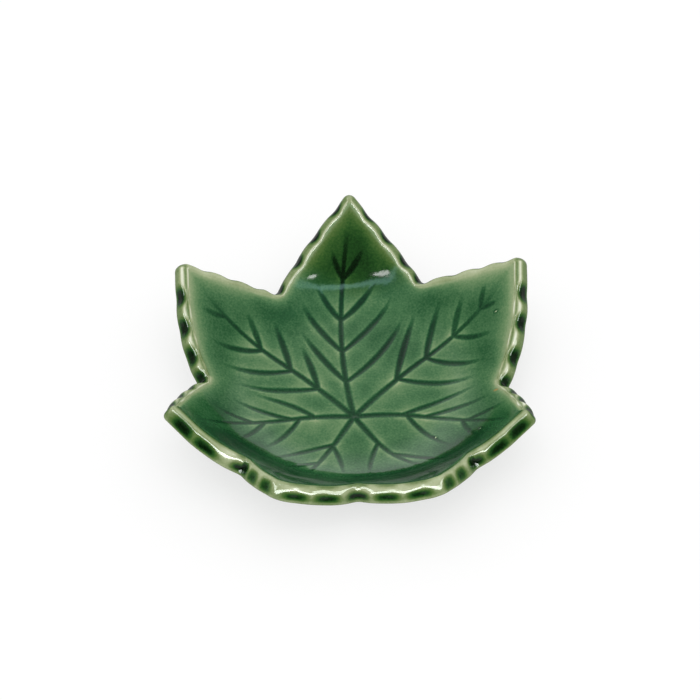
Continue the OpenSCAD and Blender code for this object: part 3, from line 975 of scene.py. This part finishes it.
print("camera, floor and light")
studio = {
    "cameraRise": 50.5,      # degrees above the horizon
    "cameraFar": 0.59,       # m from the point where the main veins meet
    "lens": 101.95,
    "sensor": 36,
    "aimUp": 19.9,           # mm
    "aimLeft": 1.3,
    "floorSize": 6,
    "paper": 0.9,            # the floor's grey in the room's light
    "paperShown": 0.35,      # and as it is seen, with its glow
    "paperGlow": 0.66,
    "paperInGloss": 0.35,
    # degrees up from the horizon behind, over the top, to the one in front: red, green, blue
    "room": [(0, 1.2, 1.2, 1.2), (12, 1.2, 1.2, 1.2), (28, 0.85, 0.85, 0.85),
             (43, 0.4, 0.4, 0.4), (60, 0.2, 0.24, 0.24), (85.5, 0.2, 0.26, 0.28),
             (87.5, 1.5, 2.7, 2.6), (90, 1.5, 2.7, 2.6), (91.5, 0.04, 0.04, 0.04),
             (180, 0.02, 0.02, 0.02)],
    "brightest": 3,
    # how the bright strip overhead curves: its middle, its bend and the most it bends
    "stripMiddle": 0.1,
    "stripBend": 1.7,
    "stripMost": 0.22,
    "sideWalls": 0.16,
    "sideFrom": (0.2, 0.5),
    "sideForward": (-0.4, -0.1),
    "horizon": 0.12,
    "horizonHigh": (0.1, 0.16),
    "fill": 1.0,
    # name, place in m from the hub of the veins, size, power, shape, turn
    "lamps": [("rightLamp", (0.29, -0.13, 1.0), (0.08, 0.06), 0.12, "ELLIPSE", -60),
              ("leftLamp", (-0.185, -0.17, 1.0), (0.15, 0.06), 0.22, "ELLIPSE", 90)],
    # what the rims mirror: a long window in front and one at each side
    "windows": [("frontWindow", (0, -0.8, 0.6), (2.0, 0.22), 19, "ELLIPSE", 0),
                ("leftWindow", (-0.777, -0.314, 0.545), (0.6, 0.26), 5, "RECTANGLE", 0),
                ("rightWindow", (0.777, -0.314, 0.545), (0.6, 0.26), 5, "RECTANGLE", 0)],
    "windowTint": (0.93, 1, 0.96),
}
hubPoint = Vector(hubPlace) * mm
rise = math.radians(studio["cameraRise"])
upward = Vector((0, math.sin(rise), math.cos(rise)))
aim = hubPoint + upward * studio["aimUp"] * mm - Vector((studio["aimLeft"] * mm, 0, 0))
cameraPlace = hubPoint + Vector((0, -math.cos(rise), math.sin(rise))) * studio["cameraFar"]
bpy.ops.object.camera_add(location=cameraPlace)
camera = bpy.context.object
camera.rotation_euler = (aim - cameraPlace).to_track_quat("-Z", "Y").to_euler()
camera.data.lens = studio["lens"]
camera.data.sensor_width = studio["sensor"]
bpy.context.scene.camera = camera

bpy.ops.mesh.primitive_plane_add(size=studio["floorSize"], location=(0, 0, 0))
floor = bpy.context.object
floor.name = "floor"


def lightPath(nodes, links):
    # for gloss, and for what the camera sees straight or through a clear body
    path = nodes.new("ShaderNodeLightPath")
    seen = doMath(nodes, links, "MAXIMUM", path.outputs["Is Camera Ray"],
                  path.outputs["Is Transmission Ray"])
    return path.outputs["Is Glossy Ray"], seen


def greyPaper(nodes, grey):
    paper = nodes.new("ShaderNodeBsdfDiffuse")
    paper.inputs["Color"].default_value = (grey, grey, grey, 1)
    return paper.outputs[0]


def floorMaterial(name):
    material, nodes, links, out = newMaterial(name)
    glow = nodes.new("ShaderNodeEmission")
    glow.inputs["Color"].default_value = (1, 1, 1, 1)
    glow.inputs["Strength"].default_value = studio["paperGlow"]
    shown = nodes.new("ShaderNodeAddShader")
    links.new(greyPaper(nodes, studio["paperShown"]), shown.inputs[0])
    links.new(glow.outputs[0], shown.inputs[1])
    glossy, seen = lightPath(nodes, links)
    unseen = mixShaders(nodes, links, glossy, greyPaper(nodes, studio["paper"]),
                        greyPaper(nodes, studio["paperInGloss"]))
    links.new(mixShaders(nodes, links, seen, unseen, shown.outputs[0]), out.inputs["Surface"])
    return material


floor.data.materials.append(floorMaterial("paperFloor"))


def makeWorld():
    world = bpy.data.worlds.new("studio")
    bpy.context.scene.world = world
    world.use_nodes = True
    nodes, links = world.node_tree.nodes, world.node_tree.links
    nodes.clear()
    out = nodes.new("ShaderNodeOutputWorld")
    coords = nodes.new("ShaderNodeTexCoord")
    split = nodes.new("ShaderNodeSeparateXYZ")
    links.new(coords.outputs["Generated"], split.inputs[0])
    x, y, z = (split.outputs[k] for k in "XYZ")
    # the room as a gloss mirrors it, by the angle up from the horizon behind the dish
    lean = doMath(nodes, links, "DIVIDE", x, z)
    lean = doMath(nodes, links, "SUBTRACT", lean, studio["stripMiddle"])
    lean = doMath(nodes, links, "MULTIPLY", lean, lean)
    lean = doMath(nodes, links, "MINIMUM", lean, studio["stripMost"])
    lean = doMath(nodes, links, "MULTIPLY", lean, studio["stripBend"])
    angle = doMath(nodes, links, "ARCTAN2", z, y)
    angle = doMath(nodes, links, "SUBTRACT", angle, lean)
    brightest = studio["brightest"]
    stops = [(degrees / 180, (r / brightest, g / brightest, b / brightest, 1))
             for degrees, r, g, b in studio["room"]]
    overhead = addRamp(nodes, links, mapRange(nodes, links, angle, 0, math.pi), stops)
    room = nodes.new("ShaderNodeVectorMath")
    room.operation = "SCALE"
    room.inputs["Scale"].default_value = brightest
    links.new(overhead, room.inputs[0])
    # pale walls at both sides
    aside = doMath(nodes, links, "ABSOLUTE", x)
    aside = mapRange(nodes, links, aside, *studio["sideFrom"])
    side = mapRange(nodes, links, y, *studio["sideForward"], 0, studio["sideWalls"])
    low = mapRange(nodes, links, z, *studio["horizonHigh"], studio["horizon"], 0)
    side = doMath(nodes, links, "MAXIMUM", side, low)
    mirrored = mixColours(nodes, links, aside, room.outputs[0], side)
    glossy, seen = lightPath(nodes, links)
    unseen = mixColours(nodes, links, glossy, (studio["fill"],) * 3 + (1,), mirrored)
    back = nodes.new("ShaderNodeBackground")
    links.new(mixColours(nodes, links, seen, unseen, (1, 1, 1, 1)), back.inputs["Color"])
    links.new(back.outputs[0], out.inputs["Surface"])


makeWorld()


def addLamp(name, place, size, power, shape, turn):
    bpy.ops.object.light_add(type="AREA", location=Vector(place) + hubPoint)
    lamp = bpy.context.object
    lamp.name = name
    lamp.data.shape = shape
    lamp.data.size, lamp.data.size_y = size
    lamp.data.energy = power
    lamp.visible_camera = False
    lamp.rotation_euler = (hubPoint - lamp.location).to_track_quat("-Z", "Y").to_euler()
    lamp.rotation_euler.rotate_axis("Z", math.radians(turn))
    return lamp


for kind in studio["lamps"]:
    addLamp(*kind)
for kind in studio["windows"]:
    window = addLamp(*kind)
    window.data.color = studio["windowTint"]
    window.visible_diffuse = False
bpy.context.scene.view_settings.view_transform = "Standard"
